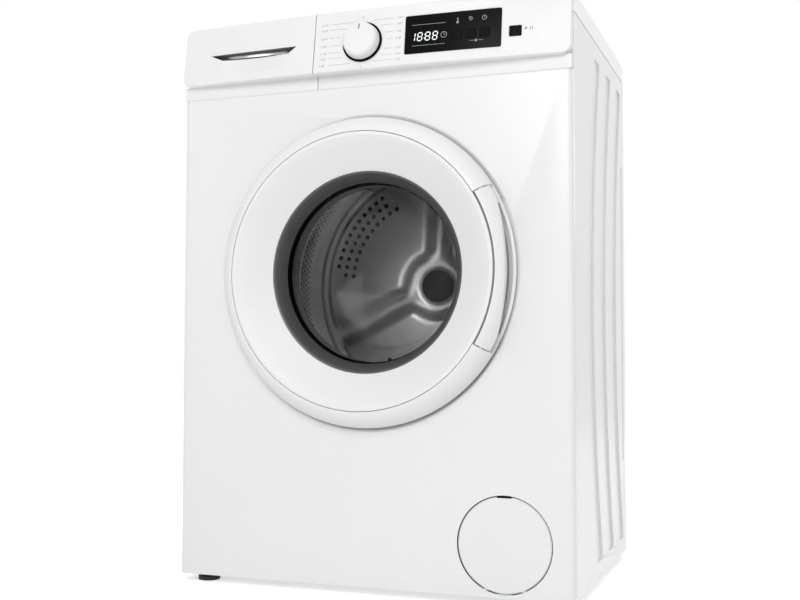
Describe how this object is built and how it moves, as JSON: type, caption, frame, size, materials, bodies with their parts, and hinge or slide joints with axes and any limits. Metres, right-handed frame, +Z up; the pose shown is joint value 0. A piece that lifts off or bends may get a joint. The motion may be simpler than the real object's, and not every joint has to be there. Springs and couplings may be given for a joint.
{
  "type": "front load washing machine",
  "caption": "White front load washing machine with a porthole door, a detergent drawer, a programme knob and a display, whose drum hangs in a sprung tub.",
  "frame": {"origin": "on the floor, at the middle of the whole machine's width and depth", "axes": "+Z up, the door faces -Y, +X to the right of someone facing the door"},
  "size_m": [0.6, 0.487, 0.84],
  "materials": {
    "white_enamel": "gloss enamel",
    "galvanised_steel": "satin",
    "white_laminate": "white laminate",
    "white_plastic": "semi-gloss",
    "light_plastic": "matt",
    "black_plastic": "gloss",
    "dark_plastic": "matt",
    "smoked_glass": "polished",
    "stainless_steel": "brushed",
    "cast_aluminium": "as cast",
    "grey_rubber": "matt",
    "black_rubber": "matt",
    "concrete": "rough"
  },
  "bodies": {
    "cabinet": {"left_side_panel": "white_enamel", "right_side_panel": "white_enamel", "front_panel": "white_enamel", "rear_panel": "galvanised_steel", "rear_cover": "galvanised_steel", "base_tray": "galvanised_steel", "worktop": "white_laminate", "cross_bars": "galvanised_steel", "control_panel": "white_plastic", "knob_ring": "black_plastic", "display_window": "black_plastic", "dispenser_housing": "light_plastic", "inlet_valve": "light_plastic", "control_board": "dark_plastic", "door_lock": "dark_plastic", "hinge_bracket": "galvanised_steel", "door_seal": "grey_rubber", "drain_pump": "light_plastic", "dispenser_hose": "grey_rubber", "sump_hose": "grey_rubber", "drain_outlet": "dark_plastic", "cord_gland": "dark_plastic", "transit_caps": "light_plastic", "suspension_springs": "stainless_steel", "damper_cylinders": "stainless_steel"},
    "tub": {"tub_front": "light_plastic", "tub_rear": "light_plastic", "top_counterweight": "concrete", "front_counterweight": "concrete", "drum_bearings": "stainless_steel", "drive_motor": "cast_aluminium", "heater": "stainless_steel", "drive_belt": "black_rubber", "damper_rods": "stainless_steel"},
    "drum": {"drum_shell": "stainless_steel", "drum_lifters": "light_plastic", "drum_spider": "cast_aluminium", "drum_shaft": "stainless_steel", "drum_pulley": "cast_aluminium"},
    "motor_rotor": {"motor_pulley": "stainless_steel"},
    "door": {"door_frame": "white_plastic", "door_trim": "white_plastic", "door_glass": "smoked_glass", "door_back_ring": "light_plastic", "hinge_arm": "galvanised_steel"},
    "handle": {"door_handle": "white_plastic"},
    "hook": {"latch_hook": "dark_plastic"},
    "drawer": {"drawer_front": "white_plastic", "drawer_tray": "light_plastic"},
    "knob": {"program_knob": "white_plastic"},
    "start_key": {"start_button": "black_plastic"},
    "option_key_1": {"option_button_1": "black_plastic"},
    "option_key_2": {"option_button_2": "black_plastic"},
    "option_key_3": {"option_button_3": "black_plastic"},
    "flap": {"filter_flap": "white_plastic"},
    "filter": {"pump_filter": "light_plastic"},
    "foot_fl": {"foot_front_left": "dark_plastic"},
    "foot_fr": {"foot_front_right": "dark_plastic"},
    "foot_rl": {"foot_rear_left": "dark_plastic"},
    "foot_rr": {"foot_rear_right": "dark_plastic"}
  },
  "joints": [
    {"name": "tub_bounce", "type": "slide", "parent": "cabinet", "child": "tub", "axis": [0, 0, 1], "range_m": [-0.008, 0.008], "stiffness_N_per_m": 16000, "springref_m": 0.01962, "deforming": ["suspension_springs", "dispenser_hose", "sump_hose", "door_seal"]},
    {"name": "drum_spin", "type": "hinge", "parent": "tub", "child": "drum", "pos_m": [0, 0, 0.45785], "axis": [0, 1, 0], "continuous": true},
    {"name": "motor_spin", "type": "hinge", "parent": "tub", "child": "motor_rotor", "pos_m": [0.06, 0, 0.1198], "axis": [0, 1, 0], "continuous": true},
    {"name": "door_hinge", "type": "hinge", "parent": "cabinet", "child": "door", "pos_m": [-0.20605, -0.2165, 0.45785], "axis": [0, 0, -1], "range_deg": [0, 100]},
    {"name": "handle_pull", "type": "hinge", "parent": "door", "child": "handle", "pos_m": [0.17705, -0.2345, 0.45785], "axis": [0, 0, -1], "range_deg": [0, 12], "stiffness_Nm_per_rad": 2, "springref_deg": -2.86},
    {"name": "latch_turn", "type": "hinge", "parent": "door", "child": "hook", "pos_m": [0.19005, -0.1995, 0.45785], "axis": [0, 0, 1], "range_deg": [0, 12]},
    {"name": "drawer_slide", "type": "slide", "parent": "cabinet", "child": "drawer", "axis": [0, -1, 0], "range_m": [0, 0.16]},
    {"name": "knob_turn", "type": "hinge", "parent": "cabinet", "child": "knob", "pos_m": [0, -0.22437, 0.787], "axis": [0, -0.989, 0.1478], "continuous": true},
    {"name": "start_press", "type": "slide", "parent": "cabinet", "child": "start_key", "axis": [-0.0595, 0.9872, -0.1478], "range_m": [0, 0.0015], "stiffness_N_per_m": 800, "springref_m": -0.0005},
    {"name": "option_press_1", "type": "slide", "parent": "cabinet", "child": "option_key_1", "axis": [-0.0358, 0.9884, -0.1478], "range_m": [0, 0.0008], "stiffness_N_per_m": 1000, "springref_m": -0.0005},
    {"name": "option_press_2", "type": "slide", "parent": "cabinet", "child": "option_key_2", "axis": [-0.0358, 0.9884, -0.1478], "range_m": [0, 0.0008], "stiffness_N_per_m": 1000, "springref_m": -0.0005},
    {"name": "option_press_3", "type": "slide", "parent": "cabinet", "child": "option_key_3", "axis": [-0.0358, 0.9884, -0.1478], "range_m": [0, 0.0008], "stiffness_N_per_m": 1000, "springref_m": -0.0005},
    {"name": "flap_hinge", "type": "hinge", "parent": "cabinet", "child": "flap", "pos_m": [0.203, -0.2067, 0.0225], "axis": [1, 0, 0], "range_deg": [0, 75]},
    {"name": "filter_turn", "type": "hinge", "parent": "cabinet", "child": "filter", "pos_m": [0.203, -0.1645, 0.083], "axis": [0, -1, 0], "range_deg": [0, 170]},
    {"name": "foot_turn_fl", "type": "hinge", "parent": "cabinet", "child": "foot_fl", "pos_m": [-0.266, -0.1785, 0], "axis": [0, 0, 1], "continuous": true},
    {"name": "foot_turn_fr", "type": "hinge", "parent": "cabinet", "child": "foot_fr", "pos_m": [0.266, -0.1785, 0], "axis": [0, 0, 1], "continuous": true},
    {"name": "foot_turn_rl", "type": "hinge", "parent": "cabinet", "child": "foot_rl", "pos_m": [-0.266, 0.2015, 0], "axis": [0, 0, 1], "continuous": true},
    {"name": "foot_turn_rr", "type": "hinge", "parent": "cabinet", "child": "foot_rr", "pos_m": [0.266, 0.2015, 0], "axis": [0, 0, 1], "continuous": true}
  ],
  "couplings": [
    {"joint": "motor_spin", "follows": "drum_spin", "ratio": 12.273},
    {"joint": "latch_turn", "follows": "handle_pull", "ratio": 1}
  ]
}
